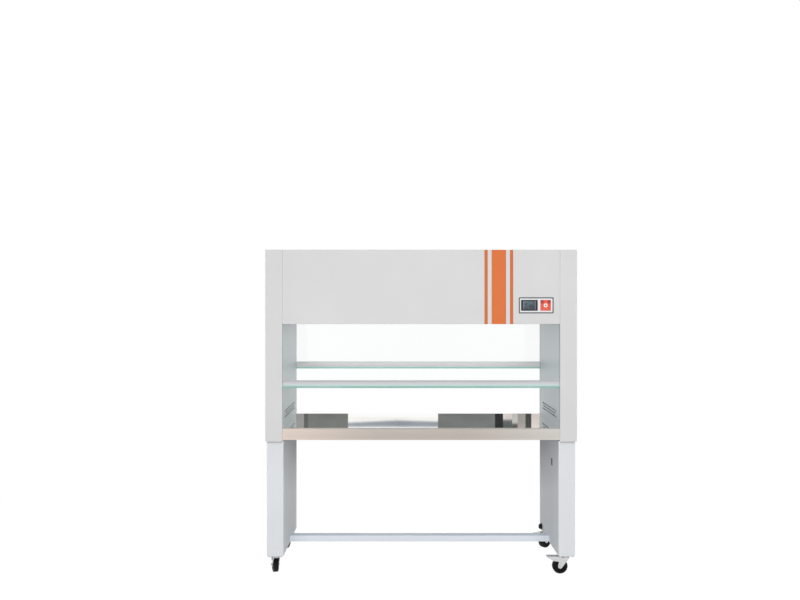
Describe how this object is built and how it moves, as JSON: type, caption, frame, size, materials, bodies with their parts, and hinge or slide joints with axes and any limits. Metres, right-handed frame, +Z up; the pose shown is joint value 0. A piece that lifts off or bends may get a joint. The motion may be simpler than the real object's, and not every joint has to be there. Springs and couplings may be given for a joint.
{
  "type": "laminar flow hood",
  "caption": "Double sided laminar flow clean bench with sliding glass sashes, a worktop between side columns and a castered stand.",
  "frame": {"origin": "on the floor, under the middle of the bench", "axes": "+X to the right of someone facing the control panel, +Y to the back, +Z up"},
  "size_m": [1.5301, 0.695, 1.605],
  "materials": {
    "hood_paint": "light grey powder coat, satin",
    "stand_paint": "light grey powder coat, satin",
    "inner_wall_steel": "stainless sheet, matt",
    "worktop_steel": "stainless sheet, fine grain",
    "galvanised_steel": "zinc coated sheet",
    "diffuser_white": "white powder coat",
    "channel_dark": "dark lining",
    "sash_glass": "clear tempered glass with a green edge",
    "strip_aluminium": "anodised, satin",
    "fan_casing": "zinc coated sheet",
    "impeller_metal": "mill finish",
    "motor_paint": "black enamel",
    "filter_frame": "anodised frame with white media",
    "filter_felt": "white felt",
    "lamp_glass": "opal tube",
    "uv_glass": "clear quartz tube",
    "holder_plastic": "white",
    "bezel_plastic": "off white",
    "display_glass": "dark display",
    "keypad_orange": "orange red",
    "key_white": "white",
    "key_dark_red": "dark red",
    "key_light_red": "red",
    "switch_black": "black",
    "rocker_red": "dark red",
    "gland_plastic": "black",
    "zinc_plate": "bright zinc plating",
    "bolt_zinc": "zinc plating",
    "wheel_black": "black"
  },
  "bodies": {
    "bench": {"column_shell_left": "hood_paint", "column_shell_right": "hood_paint", "front_panel": "hood_paint", "rear_panel": "hood_paint", "top_cover": "hood_paint", "leg_left": "stand_paint", "leg_right": "stand_paint", "foot_rail": "stand_paint", "side_liner_left": "inner_wall_steel", "side_liner_right": "inner_wall_steel", "worktop": "worktop_steel", "worktop_bearer_front": "galvanised_steel", "worktop_bearer_rear": "galvanised_steel", "fan_deck": "galvanised_steel", "diffuser_tray": "diffuser_white", "sash_channels": "channel_dark", "blower_housing_left": "fan_casing", "blower_housing_right": "fan_casing", "fan_motor_left": "motor_paint", "fan_motor_right": "motor_paint", "filter_cartridge": "filter_frame", "prefilter_pad": "filter_felt", "lamp_tube": "lamp_glass", "germicidal_tube": "uv_glass", "lamp_holders": "holder_plastic", "control_plate": "bezel_plastic", "display_window": "display_glass", "keypad": "keypad_orange", "switch_bezel": "switch_black", "cable_gland": "gland_plastic", "caster_plates": "zinc_plate", "caster_bolts": "bolt_zinc"},
    "impeller_left": {"impeller_left": "impeller_metal"},
    "impeller_right": {"impeller_right": "impeller_metal"},
    "front_sash": {"front_sash_glass": "sash_glass", "front_sash_strip": "strip_aluminium"},
    "rear_sash": {"rear_sash_glass": "sash_glass", "rear_sash_strip": "strip_aluminium"},
    "power_rocker": {"switch_rocker": "rocker_red"},
    "centre_key": {"centre_key": "key_white"},
    "key_upper_left": {"key_upper_left": "key_dark_red"},
    "key_upper_right": {"key_upper_right": "key_dark_red"},
    "key_lower_left": {"key_lower_left": "key_light_red"},
    "key_lower_right": {"key_lower_right": "key_light_red"},
    "swivel_front_left": {"caster_fork_front_left": "zinc_plate", "caster_axle_front_left": "bolt_zinc"},
    "wheel_front_left": {"caster_wheel_front_left": "wheel_black"},
    "pedal_front_left": {"brake_pedal_front_left": "zinc_plate"},
    "swivel_front_right": {"caster_fork_front_right": "zinc_plate", "caster_axle_front_right": "bolt_zinc"},
    "wheel_front_right": {"caster_wheel_front_right": "wheel_black"},
    "pedal_front_right": {"brake_pedal_front_right": "zinc_plate"},
    "swivel_rear_left": {"caster_fork_rear_left": "zinc_plate", "caster_axle_rear_left": "bolt_zinc"},
    "wheel_rear_left": {"caster_wheel_rear_left": "wheel_black"},
    "pedal_rear_left": {"brake_pedal_rear_left": "zinc_plate"},
    "swivel_rear_right": {"caster_fork_rear_right": "zinc_plate", "caster_axle_rear_right": "bolt_zinc"},
    "wheel_rear_right": {"caster_wheel_rear_right": "wheel_black"},
    "pedal_rear_right": {"brake_pedal_rear_right": "zinc_plate"}
  },
  "joints": [
    {"name": "impeller_left_spin", "type": "hinge", "parent": "bench", "child": "impeller_left", "pos_m": [-0.33, 0, 1.5], "axis": [1, 0, 0], "continuous": true},
    {"name": "impeller_right_spin", "type": "hinge", "parent": "bench", "child": "impeller_right", "pos_m": [0.33, 0, 1.5], "axis": [1, 0, 0], "continuous": true},
    {"name": "front_sash_slide", "type": "slide", "parent": "bench", "child": "front_sash", "axis": [0, 0, 1], "range_m": [-0.1955, 0.129]},
    {"name": "rear_sash_slide", "type": "slide", "parent": "bench", "child": "rear_sash", "axis": [0, 0, 1], "range_m": [-0.2515, 0.073]},
    {"name": "centre_key_press", "type": "slide", "parent": "bench", "child": "centre_key", "axis": [0, 1, 0], "range_m": [0, 0.0008], "stiffness_N_per_m": 300},
    {"name": "key_upper_left_press", "type": "slide", "parent": "bench", "child": "key_upper_left", "axis": [0, 1, 0], "range_m": [0, 0.0008], "stiffness_N_per_m": 300},
    {"name": "key_upper_right_press", "type": "slide", "parent": "bench", "child": "key_upper_right", "axis": [0, 1, 0], "range_m": [0, 0.0008], "stiffness_N_per_m": 300},
    {"name": "key_lower_left_press", "type": "slide", "parent": "bench", "child": "key_lower_left", "axis": [0, 1, 0], "range_m": [0, 0.0008], "stiffness_N_per_m": 300},
    {"name": "key_lower_right_press", "type": "slide", "parent": "bench", "child": "key_lower_right", "axis": [0, 1, 0], "range_m": [0, 0.0008], "stiffness_N_per_m": 300},
    {"name": "power_rocker_tilt", "type": "hinge", "parent": "bench", "child": "power_rocker", "pos_m": [0.68, -0.1135, 0.529], "axis": [0, 1, 0], "range_deg": [0, 14]},
    {"name": "swivel_front_left_turn", "type": "hinge", "parent": "bench", "child": "swivel_front_left", "pos_m": [-0.7195, -0.2725, 0.09], "axis": [0, 0, 1], "continuous": true},
    {"name": "wheel_front_left_spin", "type": "hinge", "parent": "swivel_front_left", "child": "wheel_front_left", "pos_m": [-0.72722, -0.24558, 0.0375], "axis": [-0.9613, -0.2756, 0], "continuous": true},
    {"name": "pedal_front_left_press", "type": "hinge", "parent": "swivel_front_left", "child": "pedal_front_left", "pos_m": [-0.72446, -0.2552, 0.067], "axis": [-0.9613, -0.2756, 0], "range_deg": [0, 8]},
    {"name": "swivel_front_right_turn", "type": "hinge", "parent": "bench", "child": "swivel_front_right", "pos_m": [0.7195, -0.2725, 0.09], "axis": [0, 0, 1], "continuous": true},
    {"name": "wheel_front_right_spin", "type": "hinge", "parent": "swivel_front_right", "child": "wheel_front_right", "pos_m": [0.6915, -0.2725, 0.0375], "axis": [0, -1, 0], "continuous": true},
    {"name": "pedal_front_right_press", "type": "hinge", "parent": "swivel_front_right", "child": "pedal_front_right", "pos_m": [0.7015, -0.2725, 0.067], "axis": [0, -1, 0], "range_deg": [0, 8]},
    {"name": "swivel_rear_left_turn", "type": "hinge", "parent": "bench", "child": "swivel_rear_left", "pos_m": [-0.7195, 0.2725, 0.09], "axis": [0, 0, 1], "continuous": true},
    {"name": "wheel_rear_left_spin", "type": "hinge", "parent": "swivel_rear_left", "child": "wheel_rear_left", "pos_m": [-0.72627, 0.24533, 0.0375], "axis": [0.9703, -0.2419, 0], "continuous": true},
    {"name": "pedal_rear_left_press", "type": "hinge", "parent": "swivel_rear_left", "child": "pedal_rear_left", "pos_m": [-0.72385, 0.25503, 0.067], "axis": [0.9703, -0.2419, 0], "range_deg": [0, 8]},
    {"name": "swivel_rear_right_turn", "type": "hinge", "parent": "bench", "child": "swivel_rear_right", "pos_m": [0.7195, 0.2725, 0.09], "axis": [0, 0, 1], "continuous": true},
    {"name": "wheel_rear_right_spin", "type": "hinge", "parent": "swivel_rear_right", "child": "wheel_rear_right", "pos_m": [0.69629, 0.25684, 0.0375], "axis": [0.5592, -0.829, 0], "continuous": true},
    {"name": "pedal_rear_right_press", "type": "hinge", "parent": "swivel_rear_right", "child": "pedal_rear_right", "pos_m": [0.70458, 0.26243, 0.067], "axis": [0.5592, -0.829, 0], "range_deg": [0, 8]}
  ]
}
